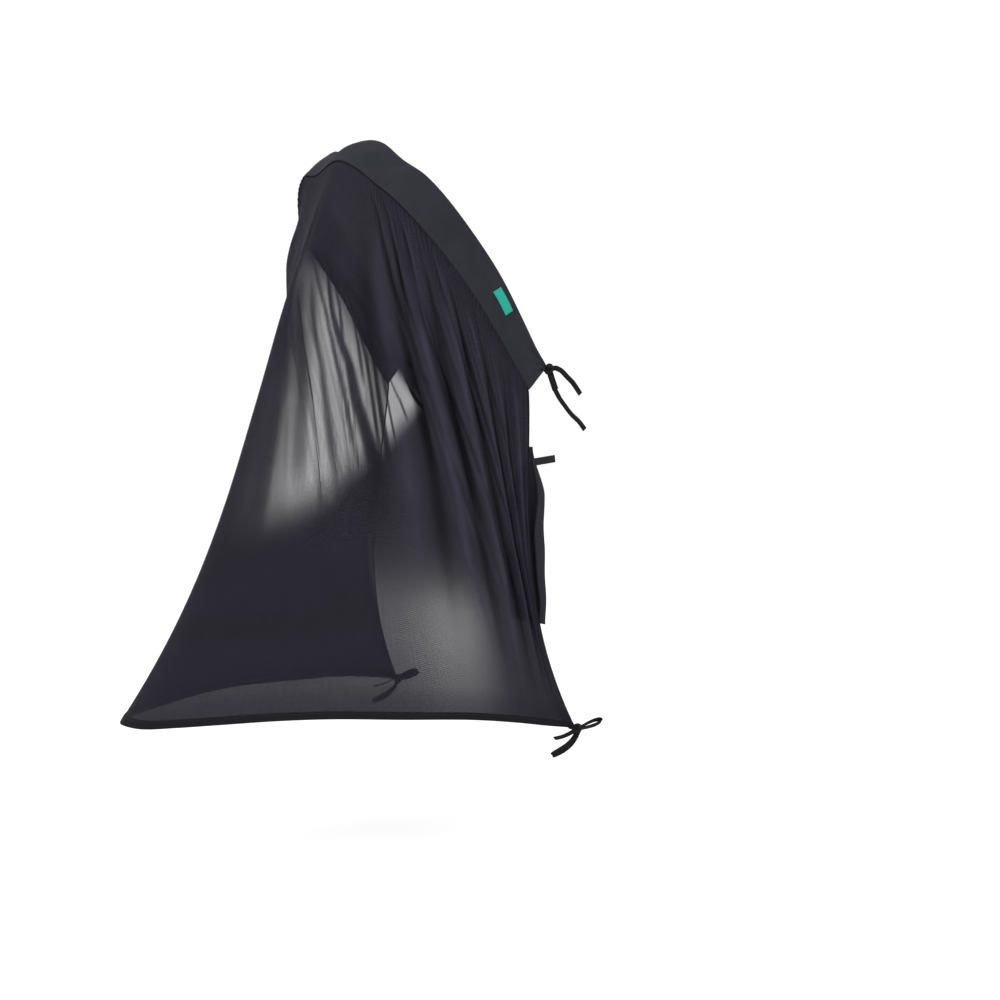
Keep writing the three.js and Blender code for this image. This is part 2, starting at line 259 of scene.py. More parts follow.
def normals(place: Places, around: Array, down: Array) -> Array:
    """Outward directions of a surface at places round and down."""
    step = 1e-3
    right = place(around + step, down) - place(around - step, down)
    fall = place(around, np.minimum(down + step, 1)) - place(around, np.maximum(down - step, 0))
    return unit(np.cross(fall, right))


def over(place: Places, around: Array, down: Array, lift: Array | float) -> Array:
    """Points that stand off a surface, in metres along its outward direction."""
    return place(around, down) + normals(place, around, down) * np.reshape(lift, (-1, 1))


class Route:
    """A smooth curve through points, measured by its length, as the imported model's curves are."""

    DIVISIONS = 400

    def __init__(self, points: Sequence[Sequence[float]]) -> None:
        """Args: points: the points that the curve passes, in millimetres."""
        self.points = np.array(points, dtype=float) * MM
        self.shares = np.linspace(0, 1, self.DIVISIONS + 1)
        self.lengths = lengths_along(self._by_share(self.shares))

    @classmethod
    def both_sides(cls, near_half: Sequence[Sequence[float]]) -> "Route":
        """Returns a curve over both sides, from the points of its near half."""
        far_half = [(-x, y, z) for x, y, z in reversed(near_half[1:])]
        return cls([*far_half, *near_half])

    @property
    def length(self) -> float:
        """The curve's length in metres."""
        return float(self.lengths[-1])

    def _by_share(self, shares: Array) -> Array:
        """Points of the centripetal Catmull-Rom curve at shares of its parameter."""
        ends = self.points
        whole = np.vstack((2 * ends[0] - ends[1], ends, 2 * ends[-1] - ends[-2]))
        place = np.clip(shares, 0, 1) * (len(ends) - 1)
        first = np.minimum(place.astype(int), len(ends) - 2)
        weight = (place - first)[:, None]
        p0, p1, p2, p3 = (whole[first + step] for step in range(4))
        gaps = [np.sqrt(np.linalg.norm(b - a, axis=1))[:, None] for a, b in ((p0, p1), (p1, p2), (p2, p3))]
        t1 = ((p1 - p0) / gaps[0] - (p2 - p0) / (gaps[0] + gaps[1]) + (p2 - p1) / gaps[1]) * gaps[1]
        t2 = ((p2 - p1) / gaps[1] - (p3 - p1) / (gaps[1] + gaps[2]) + (p3 - p2) / gaps[2]) * gaps[1]
        square = -3 * p1 + 3 * p2 - 2 * t1 - t2
        cube = 2 * p1 - 2 * p2 + t1 + t2
        return p1 + weight * (t1 + weight * (square + weight * cube))

    def at(self, shares: Array) -> Array:
        """Points at shares of the curve's length."""
        wanted = np.clip(np.atleast_1d(np.asarray(shares, dtype=float)), 0, 1) * self.length
        return self._by_share(np.interp(wanted, self.lengths, self.shares))


class Drape:
    """The cloth's shared surfaces: the hoop that the band lies on, and the net that hangs from it."""

    FRONT_IN, FRONT_REACH, FRONT_LOW = 36, 0.4, 1.7
    REAR_IN, REAR_REACH, REAR_LOW = 31, 0.45, 1.3
    CORNER_AT, CORNER_REACH, CORNER_DOWN, CORNER_DROP, CORNER_OUT = 0.26, 0.15, 0.18, 0.2, 24
    GATHER_POWER, GATHER_EVEN = 4.2, 0.12

    def __init__(self) -> None:
        """Lays out the three curves."""
        self.seam = Route.both_sides([seam for seam, _ in BAND])
        self.edge = Route.both_sides([edge for _, edge in BAND])
        self.hem = Route.both_sides(HEM)

    @staticmethod
    def on_curve(route: Route, around: Array) -> Array:
        """Points of a curve over both sides."""
        return route.at((around + 1) / 2)

    def on_hoop(self, route: Route, around: Array) -> Array:
        """The same on the hoop, whose far half isn't quite the mirror of the near one."""
        point = self.on_curve(route, around)
        for row in FAR_SIDE:
            bump = bell(around, -row.at, row.reach)
            point[:, 0] *= 1 - row.narrower * bump
            point[:, 1] += row.back * MM * bump
            point[:, 2] += row.higher * MM * bump
        return point

    def band(self, around: Array, down: Array) -> Array:
        """Middle of the band's thickness."""
        edge = self.on_hoop(self.edge, around)
        seam = self.on_hoop(self.seam, around)
        step = np.where(around < 0, 0.01, -0.01)
        along = (self.on_hoop(self.seam, around + step) - seam) * np.sign(step)[:, None]
        outward = unit(np.cross(seam - edge, along))
        crest = BAND_CREST * MM * mix(1, 0.5, np.abs(around)) * np.sin(np.pi * down)
        return mix(edge, seam, down[:, None]) + outward * crest[:, None]

    def net_base(self, around: Array, down: Array) -> Array:
        """The net without its folds."""
        share = np.minimum(np.abs(around), 1)
        gathered = mix(1 - (1 - share) ** self.GATHER_POWER, share, self.GATHER_EVEN)
        top = self.on_hoop(self.seam, around)
        drop = self.on_curve(self.hem, np.sign(around) * gathered) - top
        start = SEAM_GAP * MM / np.linalg.norm(drop, axis=1)
        point = top + drop * mix(start, 1, down)[:, None]

        def belly(low: float) -> Array:
            """How far the net bulges, from 0 to 1, most where low is the power that gives one half."""
            return 4 * down ** low * (1 - down ** low)

        front = self.FRONT_IN * MM * (1 - smooth(share, 0, self.FRONT_REACH))
        rear = self.REAR_IN * MM * smooth(share, 1 - self.REAR_REACH, 1)
        point[:, 1] += front * belly(self.FRONT_LOW) - rear * belly(self.REAR_LOW)
        corner = bell(share, self.CORNER_AT, self.CORNER_REACH)
        corner *= bell(down, self.CORNER_DOWN, self.CORNER_DROP)
        out = math.sqrt(0.5) * self.CORNER_OUT * MM * corner * smooth(down, 0, self.CORNER_DOWN)
        point[:, 0] += np.sign(around) * out
        point[:, 1] -= out
        return point


def grown(fold: Fold, around: Array, down: Array, sharpness: float = 1.0) -> Array:
    """How much of a fold there is at each place, from 0 to 1."""
    centre = mix(fold.top, fold.foot, smooth(down, 0, 1))
    begun = smooth(down, fold.start, fold.start + 0.22)
    gone = smooth(down, fold.end - 0.3, fold.end)
    return bell(around, centre, fold.reach / sharpness) * begun * (1 - gone)


def pressed(crease: Crease, around: Array, down: Array, aside: float = 0.0,
            power: float = 4.0) -> Array:
    """How much of a crease there is at each place, from 0 to 1, or of a line some widths aside of it."""
    downs, arounds = zip(*crease.path)
    along = np.clip((down - downs[0]) / (downs[-1] - downs[0]), 0, 1)
    reach = mix(crease.reach[0], crease.reach[1], along)
    away = np.abs((around - np.interp(down, downs, arounds)) / reach - aside)
    return np.exp(-away ** power) * smooth(along, 0, 0.12) * (1 - smooth(along, 0.75, 1))


def toward(knot: tuple[float, float, float], around: Array) -> Array:
    """The knot of each place's own side, in metres."""
    ones = np.ones_like(around)
    return np.column_stack((np.sign(around), ones, ones)) * knot * MM


# Finishes

def linear(code: str) -> tuple[float, float, float, float]:
    """Turns an sRGB hex colour to a linear one with full alpha."""
    parts = [int(code[i:i + 2], 16) / 255 for i in (1, 3, 5)]
    parts = [p / 12.92 if p <= 0.04045 else ((p + 0.055) / 1.055) ** 2.4 for p in parts]
    return parts[0], parts[1], parts[2], 1.0


class Shader:
    """A material in the making, with short ways to add the nodes that the finishes share."""

    def __init__(self, name: str) -> None:
        """Args: name: the material's name."""
        self.material = bpy.data.materials.new(name)
        self.material.use_nodes = True
        self.tree = self.material.node_tree

    def _fill(self, node: Node, inputs: dict) -> None:
        """Sets a node's inputs, by name or number, each to a value or to the output that is linked to it."""
        for name, value in inputs.items():
            if isinstance(value, NodeSocket):
                self.tree.links.new(value, node.inputs[name])
            else:
                node.inputs[name].default_value = value

    def add(self, kind: str, inputs: dict, output: int | str = 0, **settings: object) -> NodeSocket:
        """Adds a node.

        Args:
            kind: the node's type name.
            inputs: input name or number to a value, or to an output that is linked to it.
            output: the name or number of the output that is wanted.
            settings: attributes to set on it.

        Returns:
            The wanted output.
        """
        node = self.tree.nodes.new(kind)
        for name, value in settings.items():
            setattr(node, name, value)
        self._fill(node, inputs)
        return node.outputs[output]

    def math(self, operation: str, *values: object, clamp: bool = False) -> NodeSocket:
        """Returns the result of a sum on values or outputs."""
        return self.add("ShaderNodeMath", dict(enumerate(values)), operation=operation, use_clamp=clamp)

    def remap(self, value: NodeSocket, low: float, high: float, to_low: float = 0.0,
              to_high: float = 1.0, way: str = "LINEAR") -> NodeSocket:
        """Returns an output taken from one range to another."""
        return self.add("ShaderNodeMapRange", {
            "Value": value, "From Min": low, "From Max": high, "To Min": to_low, "To Max": to_high,
        }, interpolation_type=way)

    def noise(self, vector: NodeSocket, scale: float, detail: float,
              roughness: float = 0.5) -> NodeSocket:
        """Returns a cloudy noise, at a scale per metre."""
        return self.add("ShaderNodeTexNoise", {"Vector": vector, "Scale": scale, "Detail": detail,
                                               "Roughness": roughness}, "Fac")

    def surface(self, inputs: dict) -> Material:
        """Returns the material, once its surface has these inputs."""
        self._fill(self.tree.nodes["Principled BSDF"], inputs)
        return self.material


class Weave(Enum):
    """How the threads of a cloth are laid, and so which pattern its bump takes."""

    KNIT_MESH = "knit mesh"
    PLAIN = "plain weave"
    RIBBED = "ribbed tape"
    SATIN = "satin weave"


@dataclass(frozen=True)
class ClothFinish:
    """A dyed textile. Its pattern is drawn on the piece's own UV map, which is in metres.

    Attributes:
        name: the material's name.
        weave: how its threads lie.
        shade: sRGB hex of its darker threads.
        light: sRGB hex of its lighter threads.
        pitch: thread or hole spacing in millimetres, as drawn.
        roughness: of the fibres.
        sheen: how much the loose fibres catch the light.
        bump: height of the pattern in millimetres.
        specular: specular level of the fibres.
        sheer: whether its opacity and its painted fold shade come from the piece's own attributes.
    """

    name: str
    weave: Weave
    shade: str
    light: str
    pitch: float
    roughness: float
    sheen: float
    bump: float
    specular: float = 0.3
    sheer: bool = False

    def _pattern(self, nodes: Shader, uv: NodeSocket) -> NodeSocket:
        """Returns the weave's height from 0 to 1."""
        turned = 0.785 if self.weave in (Weave.KNIT_MESH, Weave.SATIN) else 0.0
        place = nodes.add("ShaderNodeMapping", {
            "Vector": uv, "Rotation": (0, 0, turned), "Scale": (1000 / self.pitch,) * 3})
        if self.weave is Weave.KNIT_MESH:
            holes = nodes.add("ShaderNodeTexVoronoi", {"Vector": place, "Scale": 1.0, "Randomness": 0.12},
                              "Distance", voronoi_dimensions="2D")
            return nodes.remap(holes, 0.18, 0.52, way="SMOOTHSTEP")
        # A wave's bands at a scale of 0.314 are one pitch apart
        ways = "X" if self.weave is Weave.RIBBED else "XY"
        threads = [nodes.add("ShaderNodeTexWave", {"Vector": place, "Scale": 0.314, "Distortion": 0.15},
                             "Fac", bands_direction=way) for way in ways]
        return threads[0] if len(threads) == 1 else nodes.math("MAXIMUM", *threads)

    def build(self) -> Material:
        """Returns the finished material."""
        nodes = Shader(self.name)
        uv = nodes.add("ShaderNodeUVMap", {}, uv_map="cloth")
        pattern = self._pattern(nodes, uv)
        # Dye and handling leave soft patches about 60 mm across, and slubs leave fine streaks
        patches = nodes.noise(uv, 17.0, 4.0, 0.6)
        stretched = nodes.add("ShaderNodeMapping", {"Vector": uv, "Scale": (900.0, 25.0, 1.0)})
        tone = nodes.math("MULTIPLY_ADD", pattern, 0.45, patches)
        tone = nodes.math("MULTIPLY_ADD", nodes.noise(stretched, 1.0, 2.0), 0.35, tone)
        colour = nodes.add("ShaderNodeMix", {
            0: nodes.remap(tone, 0.45, 1.2), 6: linear(self.shade), 7: linear(self.light),
        }, 2, data_type="RGBA")
        look = {}
        if self.sheer:
            # Painted shade and highlight: the colour is darkened deep in a fold and lightened on a crest
            crest = nodes.add("ShaderNodeAttribute", {}, "Fac", attribute_name="crest")
            painted_fold_shade = nodes.remap(crest, -1.0, 1.0, 0.15, 2.3)
            colour = nodes.add("ShaderNodeVectorMath", {0: colour, "Scale": painted_fold_shade}, operation="SCALE")
            closed = nodes.add("ShaderNodeAttribute", {}, "Fac", attribute_name="closed")
            holes = nodes.math("MULTIPLY_ADD", pattern, 0.1, -0.05)
            look["Alpha"] = nodes.math("ADD", closed, holes, clamp=True)
        rough, spread = self.roughness, 0.06
        return nodes.surface(look | {
            "Base Color": colour,
            "Roughness": nodes.remap(patches, 0.3, 0.7, rough - spread, min(rough + spread, 1.0)),
            "Sheen Weight": self.sheen,
            "Sheen Roughness": 0.45,
            "Sheen Tint": linear("#8e8ea0"),
            "Specular IOR Level": self.specular,
            "Normal": nodes.add("ShaderNodeBump", {
                "Height": pattern, "Distance": self.bump * MM, "Strength": 0.8}),
        })


# Warp-knitted polyester mesh, dyed black: matt, and sheer where it isn't gathered. Its real holes
# are about 1 mm apart and too fine to show, so they are drawn at 2.2 mm.
NET_KNIT = ClothFinish("warp_knit_mesh", Weave.KNIT_MESH, "#111116", "#1d1c24", 2.2, 0.85, 0.02, 0.12,
                       specular=0.08, sheer=True)
# Plain-woven polyester of the band: dull, with a faint bluish bloom. 0.4 mm threads drawn at 1.1 mm.
BAND_CLOTH = ClothFinish("plain_woven_polyester", Weave.PLAIN, "#18181d", "#28282f", 1.1, 0.85, 0.04, 0.14,
                         specular=0.1)
# The pouch's lighter lining-weight polyester, drawn at 0.9 mm
POUCH_CLOTH = ClothFinish("lining_polyester", Weave.PLAIN, "#16161b", "#23232a", 0.9, 0.8, 0.04, 0.1,
                          specular=0.1)
# Binding cut from the same cloth as the ties: darker, because it is several layers thick
BINDING = ClothFinish("polyester_binding", Weave.PLAIN, "#0d0d0f", "#17171a", 0.8, 0.85, 0.02, 0.1,
                      specular=0.08)
# Grosgrain tape of the ties: ribs across it, 0.5 mm apart, drawn at 1 mm
TIE_TAPE = ClothFinish("grosgrain_tape", Weave.RIBBED, "#0b0b0c", "#161618", 1.0, 0.8, 0.03, 0.18,
                       specular=0.12)
# Satin-woven damask of the label: smooth teal with a soft gloss
LABEL_SATIN = ClothFinish("damask_label", Weave.SATIN, "#108574", "#189682", 0.7, 0.55, 0.02, 0.05,
                          specular=0.2)


@dataclass(frozen=True)
class ThreadFinish:
    """Spun polyester sewing thread: a round, faintly glossy strand."""

    name: str
    colour: str

    def build(self) -> Material:
        """Returns the finished material."""
        nodes = Shader(self.name)
        # The two plies turn round each other about every 0.8 mm
        plies = nodes.noise(nodes.add("ShaderNodeTexCoord", {}, "Object"), 1250.0, 1.0)
        grey = nodes.add("ShaderNodeCombineColor", {0: plies, 1: plies, 2: plies})
        return nodes.surface({
            "Base Color": nodes.add("ShaderNodeMix", {0: 0.5, 6: linear(self.colour), 7: grey}, 2,
                                    data_type="RGBA", blend_type="MULTIPLY"),
            "Roughness": nodes.remap(plies, 0.0, 1.0, 0.45, 0.7),
            "Normal": nodes.add("ShaderNodeBump", {"Height": plies, "Distance": 0.1 * MM, "Strength": 0.6}),
        })


BLACK_THREAD = ThreadFinish("black_polyester_thread", "#1c1c21")
TEAL_THREAD = ThreadFinish("teal_polyester_thread", "#157565")

# Making meshes

def add_object(name: str, data: bpy.types.ID) -> Object:
    """Returns a new object, which is in the scene."""
    made = bpy.data.objects.new(name, data)
    bpy.context.scene.collection.objects.link(made)
    return made


def as_mesh(bm: bmesh.types.BMesh, name: str) -> Mesh:
    """Returns a new mesh of a bmesh, which is freed."""
    mesh = bpy.data.meshes.new(name)
    bm.to_mesh(mesh)
    bm.free()
    return mesh


@dataclass
class Maker:
    """Makes pieces of cloth, tape and thread, and gives them their finish."""

    dyed: dict[str, Material] = field(default_factory=dict)

    def material(self, look: ClothFinish | ThreadFinish) -> Material:
        """Returns a finish's material, which is built once."""
        if look.name not in self.dyed:
            self.dyed[look.name] = look.build()
        return self.dyed[look.name]

    def finish(self, name: str, mesh: Mesh, look: ClothFinish | ThreadFinish, slot: str,
               thickness: float = 0.0, rim: int = 0) -> Object:
        """Puts a mesh into the scene as a piece that rides on the part.

        Args:
            name: the piece's name.
            mesh: its mesh, already in place.
            look: its finish.
            slot: the record's material slot, which is not used.
            thickness: in millimetres, half to each side, or 0 for a mesh that is already solid.
            rim: how many faces round its rim off.

        Returns:
            The piece.
        """
        mesh.name = name
        mesh.shade_smooth()
        mesh.materials.append(self.material(look))
        piece = add_object(name, mesh)
        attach(piece, "root")
        if thickness:
            shell = piece.modifiers.new("thickness", "SOLIDIFY")
            shell.thickness = thickness * MM
            shell.offset = 0
        if rim:
            soft = piece.modifiers.new("rim", "BEVEL")
            soft.width = 0.3 * thickness * MM
            soft.segments = rim
            soft.limit_method = "ANGLE"
        return piece

    @staticmethod
    def grid(columns: Array, rows: Array, place: Places,
             size: tuple[float, float]) -> tuple[Mesh, Array, Array]:
        """Makes a grid and lays it over a surface.

        Args:
            columns: the places round of its columns.
            rows: the places down of its rows.
            place: gives a point for each place round and down, in metres.
            size: the cloth's flat width and length in metres, for its UV map.

        Returns:
            The mesh, and each vertex's place round and down.
        """
        bm = bmesh.new()
        bmesh.ops.create_grid(bm, x_segments=len(columns) - 1, y_segments=len(rows) - 1, size=0.5)
        mesh = as_mesh(bm, "cloth")
        flat = np.empty(len(mesh.vertices) * 3)
        mesh.vertices.foreach_get("co", flat)
        flat = flat.reshape(-1, 3)
        across = np.rint((flat[:, 0] + 0.5) * (len(columns) - 1)).astype(int)
        fallen = np.rint((0.5 - flat[:, 1]) * (len(rows) - 1)).astype(int)
        around, down = np.asarray(columns, float)[across], np.asarray(rows, float)[fallen]
        mesh.vertices.foreach_set("co", place(around, down).ravel())
        corners = np.empty(len(mesh.loops), dtype=np.int32)
        mesh.loops.foreach_get("vertex_index", corners)
        spread = (around - columns[0]) / (columns[-1] - columns[0])
        uv = np.column_stack((spread * size[0], (1 - down) * size[1]))[corners]
        mesh.uv_layers.new(name="cloth").data.foreach_set("uv", uv.ravel())
        mesh.update()
        return mesh, around, down

    def cloth(self, name: str, columns: Array, rows: Array, place: Places,
              size: tuple[float, float], look: ClothFinish, slot: str, thickness: float,
              rim: int = 0) -> Object:
        """Makes a thickened sheet from a surface. Its Args are those of grid and finish."""
        return self.finish(name, self.grid(columns, rows, place, size)[0], look, slot, thickness, rim)

    def ribbon(self, points: Array, sides: Array, width: float = TAPE_WIDTH,
               cup: float = 0.35) -> Mesh:
        """Makes a strip of tape along a line.

        Args:
            points: the points along its middle, in metres.
            sides: the direction of its width at each point.
            width: its width in millimetres.
            cup: how far its middle stands off its edges, in millimetres.

        Returns:
            The strip's mesh, one face thick.
        """
        along = unit(np.gradient(points, axis=0))
        sides = unit(sides - along * np.sum(sides * along, axis=1, keepdims=True))
        faces = np.cross(sides, along)
        count = len(points)

        def place(around: Array, down: Array) -> Array:
            """The strip's surface, with around along it and down across it."""
            step = np.rint(around * (count - 1)).astype(int)
            off = down - 0.5
            rise = cup * MM * (1 - 4 * off * off)
            return points[step] + sides[step] * (off * width * MM)[:, None] + faces[step] * rise[:, None]

        return self.grid(np.linspace(0, 1, count), np.linspace(0, 1, 7), place,
                         (lengths_along(points)[-1], width * MM))[0]

    @staticmethod
    def merged(meshes: Sequence[Mesh]) -> Mesh:
        """Returns one mesh with the faces of several, which are removed."""
        bm = bmesh.new()
        for mesh in meshes:
            bm.from_mesh(mesh)
            bpy.data.meshes.remove(mesh)
        return as_mesh(bm, "joined")

    def stitches(self, name: str, points: Array, outward: Array, slot: str,
                 look: ThreadFinish = BLACK_THREAD, pitch: float = 4.2, length: float = 3.0,
                 thick: float = 0.55) -> Object:
        """Sews a row of lock stitches along a line.

        Args:
            name: the piece's name.
            points: many points along the line, in metres.
            outward: the cloth's outward direction at each.
            slot: the record's material slot.
            look: the thread.
            pitch: from one stitch to the next, in millimetres.
            length: of a stitch, in millimetres.
            thick: of the thread, in millimetres.

        Returns:
            The row as one piece.
        """
        steps = lengths_along(points)

        def at(table: Array, spot: float) -> Vector:
            """A table's row at a length along the line."""
            return Vector([np.interp(spot, steps, column) for column in table.T])

        bm = bmesh.new()
        for spot in np.arange(pitch * MM / 2, steps[-1], pitch * MM):
            run = (at(points, spot + MM) - at(points, spot - MM)).normalized()
            side = at(outward, spot).normalized().cross(run).normalized()
            turn = Matrix((run, side, run.cross(side))).transposed().to_4x4()
            size = Matrix.Diagonal((length * MM / 2, thick * MM / 2, thick * MM / 2, 1))
            bmesh.ops.create_icosphere(bm, subdivisions=1, radius=1,
                                       matrix=Matrix.Translation(at(points, spot)) @ turn @ size)
        return self.finish(name, as_mesh(bm, name), look, slot)

    def sew(self, name: str, place: Places, around: Array, at: float, lift: float,
            slot: str) -> Object:
        """Sews black stitches along a surface.

        Args:
            name: the piece's name.
            place: the surface.
            around: many places round it.
            at: the row's place down.
            lift: how far the thread's middle stands off the surface, in millimetres.
            slot: the record's material slot.

        Returns:
            The row as one piece.
        """
        down = np.full_like(around, at)
        out = normals(place, around, down)
        return self.stitches(name, place(around, down) + out * lift * MM, out, slot)


# The object's own parts

@dataclass
class NetBody:
    """The sheer net with its rolled hems and their stitching.

    Attributes:
        drape: the surfaces that it follows.
        maker: makes its pieces.
        rows: how many rows of vertices it has.
        thickness: in millimetres.
        seed: of the fine creases.
        flat: its flat width and height in metres.
        near_panel: how closed the near half's front panel is. A density of 1 lets 1 / e of the light through.
        far_panel: the same on the far half, which is seen through the near one.
        gathered: the same where folds lie over each other, above the panel.
        near_foot: the same below the folds.
        far_foot: the same on the far half.
        fine: the small creases between the main folds.
    """

    drape: Drape
    maker: Maker
    rows: int = 104
    thickness: float = 0.5
    seed: int = 11
    flat: tuple[float, float] = (1.25, 0.84)
    near_panel: float = 0.65
    far_panel: float = 0.42
    gathered: float = 5.0
    near_foot: float = 3.6
    far_foot: float = 3.0
    fine: list[Crease] = field(default_factory=list)

    def __post_init__(self) -> None:
        """Lays out the small creases that lie between the main folds."""
        picker = random.Random(self.seed)
        for side, first in ((1, 0.24), (-1, 0.16)):
            place = first
            while place < 0.97:
                start, end = picker.uniform(0, 0.08), picker.uniform(0.45, 1.0)
                lean = picker.uniform(0.2, 0.36) * min(1.0, 1.9 * (1 - place))
                reach = picker.uniform(0.005, 0.009)
                path = ((start, side * place), (end, side * (place + lean * (end - start))))
                rise = picker.uniform(0.9, 2.0) * picker.choice((1, -1))
                self.fine.append(Crease(path, (reach, 1.5 * reach), rise, picker.uniform(0.2, 0.9)))
                place += picker.uniform(0.018, 0.034)
        for _ in range(9):
            place = picker.uniform(-0.16, 0.0)
            path = ((picker.uniform(0.04, 0.16), place), (picker.uniform(0.5, 0.85), 1.3 * place))
            rise = picker.uniform(0.8, 1.6) * picker.choice((1, -1))
            self.fine.append(Crease(path, (0.005, 0.009), rise, 0.5))

    @staticmethod
    def near_tie(around: Array, down: Array, aside: float, above: float) -> Array:
        """How near each place is to a lower tie, from 0 to 1."""
        return bell(np.abs(around), 1, aside) * bell(down, 1, above)

    @staticmethod
    def pucker(around: Array) -> Array:
        """The puckers where the net is gathered on to the band, about 9 mm apart."""
        return np.sin(around * 2 * np.pi * 55 + 3 * np.sin(around * 21)) * smooth(np.abs(around), 0.1, 0.3)

    def height(self, around: Array, down: Array) -> Array:
        """How far the net's folds and puckers stand off it, in metres."""
        total = np.zeros_like(around)
        for fold in FOLDS:
            total += fold.rise * grown(fold, around, down)
        for crease in (*PANEL_CREASES, *SIDE_CREASES, *self.fine):
            total += crease.rise * pressed(crease, around, down, power=2.0)
        share = np.abs(around)
        total += 1.3 * self.pucker(around) * np.exp(-down / 0.03) * smooth(down, 0, 0.006)
        # Pulls that run from each lower tie into the cloth
        spread = np.arctan2((1 - down) * 1.9, (1 - share) * 1.15 + 1e-4)
        pull = np.sin(spread * 11) * self.near_tie(around, down, 0.16, 0.1)
        total += 2.6 * pull * smooth(1 - down, 0, 0.02)
        return total * MM * (1 - smooth(share, 0.97, 1))

    def place(self, around: Array, down: Array) -> Array:
        """The net with its folds, and with its lower corners drawn towards their ties."""
        point = over(self.drape.net_base, around, down, self.height(around, down))
        return mix(point, toward(LOWER_KNOT, around), 0.8 * self.near_tie(around, down, 0.06, 0.14)[:, None])

    def leaning(self, column: Array, down: Array) -> Array:
        """The place round of each column, which leans to the rear as the creases do."""
        share = np.abs(column)
        lean = np.interp(down, (0, 0.15, 0.32, 1), (0, 0.05, 0.14, 0.28))
        return column + np.sign(column) * lean * smooth(share, 0, 0.15) * (1 - share)

    def panel(self, around: Array, down: Array) -> Array:
        """Where the near half's front panel hangs in one smooth layer, from 0 to 1."""
        downs = (0.15, 0.17, 0.195, 0.245, 0.295, 0.34, 0.395, 0.43, 0.515, 0.585, 0.665, 0.74)
        ends = (0.0, 0.06, 0.11, 0.16, 0.22, 0.27, 0.32, 0.28, 0.17, 0.105, 0.06, 0.0)
        end = np.interp(down, downs, ends)
        soft = mix(0.02, 0.045, smooth(down, 0.35, 0.5))
        inside = 1 - smooth((around - end) / soft, -1, 1)
        return inside * smooth(down, 0.13, 0.2) * (1 - smooth(down, 0.64, 0.76))

    def closed(self, around: Array, down: Array) -> Array:
        """How opaque each of the net's two faces is: more where the cloth is gathered or folded."""
        near = smooth(around, -0.03, 0.0)
        front = self.near_panel + 2.2 * (1 - smooth(around, -0.02, 0.07)) + 0.45 * smooth(around, 0.19, 0.235)
        # The panel's soft edge is a mix of the light that comes through, not of the densities
        upper = -np.log(mix(np.exp(-self.gathered), np.exp(-front), self.panel(around, down)))
        lower = self.near_foot - 0.7 * smooth(around, 0.2, 0.32) + 1.7 * smooth(around, 0.34, 0.52)
        near_side = mix(upper, lower, smooth(down, 0.62, 0.8))
        # Below the side's folds the cloth hangs smooth again, and is sheerer
        near_side -= 0.9 * bell(around, 0.3, 0.17, 4) * bell(down, 0.82, 0.13)
        far_side = self.far_panel + 2.2 * (1 - smooth(-around, 0, 0.14))
        far_side = mix(far_side, self.far_foot, smooth(down, 0.58, 0.78))
        far_side += 2.6 * smooth(around, -0.38, -0.26) * (1 - smooth(down, 0.18, 0.45))
        dense = mix(far_side, near_side, near)
        dense += 2.0 * np.exp(-down / 0.05) + 0.6 * smooth(down, 0.93, 0.985)
        dense += 1.5 * self.near_tie(around, down, 0.2, 0.14)
        for fold in FOLDS:
            dense += (0.5 if fold.rise < 0 else 0.1) * grown(fold, around, down, 1.5)
        for crease in self.fine:
            dense += mix(0.4, 1.0, near) * crease.dark * pressed(crease, around, down, power=2.0)
        for crease in (*PANEL_CREASES, *SIDE_CREASES):
            dense += crease.dark * pressed(crease, around, down)
        return 1 - np.exp(-dense / 2)

    def crest(self, around: Array, down: Array) -> Array:
        """How far each place is up a crest, to 1, or down a trough, to -1, for the painted fold shade."""
        total = np.zeros_like(around)
        for fold in FOLDS:
            total += 0.11 * fold.rise * grown(fold, around, down)
        for crease in (*SIDE_CREASES, *self.fine):
            total += 0.22 * crease.rise * (pressed(crease, around, down, power=2.0)
                                           - 0.7 * pressed(crease, around, down, aside=1.9, power=2.0))
        total += 0.35 * self.pucker(around) * np.exp(-down / 0.06)
        return np.clip(total, -1, 1)

    def build(self) -> None:
        """Makes the net, its hems and their stitches."""
        hem_start = 1 - HEM_SHARE
        # The columns lie closest together in the front panel, where the narrowest pleats are, and round
        # the front, where the hem spreads and turns
        columns = np.concatenate((-np.linspace(1, 0, 141)[:-1] ** 1.3, np.linspace(0, 0.3, 176)[:-1],
                                  np.linspace(0.3, 1, 136)))
        rows = np.concatenate((np.linspace(0, 0.06, 10)[:-1], np.linspace(0.06, hem_start, self.rows - 10),
                               np.linspace(hem_start, 1, 3)[1:]))
        mesh, around, down = self.maker.grid(
            columns, rows, lambda column, fall: self.place(self.leaning(column, fall), fall), self.flat)
        around = self.leaning(around, down)
        # The crest attribute carries the painted fold shade and highlight into the net's colour
        for name, values in (("closed", self.closed), ("crest", self.crest)):
            mesh.attributes.new(name, "FLOAT", "POINT").data.foreach_set("value", values(around, down))
        net = self.maker.finish("net_cloth", mesh, NET_KNIT, "net_mesh", self.thickness)
        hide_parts("sun_net")
        pieces = [self.hem(), *self.edges(), self.sewing(), self.seam()]

    def hem(self) -> Object:
        """Returns the hem, turned up on the inside and round the net's lower edge."""

        def place(around: Array, turn: Array) -> Array:
            """The hem from its upper edge outside, round its foot, to its upper edge inside."""
            side = 1 - 2 * smooth(turn, 0.42, 0.58)
            up = np.abs(turn - 0.5) * 2
            down = 1 - HEM_SHARE * np.clip(up, 0, 1)
            ripple = 0.25 * np.sin(around * 260) * up
            lift = side * (1.0 + 0.12 * np.sin(around * 97)) + ripple
            point = over(self.place, np.clip(around, -0.999, 0.999), down, lift * MM)
            point[:, 2] -= 0.8 * MM * (1 - up)
            return point

        return self.maker.cloth("bottom_hem", np.linspace(-1, 1, 361), np.linspace(0, 1, 13), place,
                                (1.25, 0.022), BINDING, "net_mesh", 0.7)

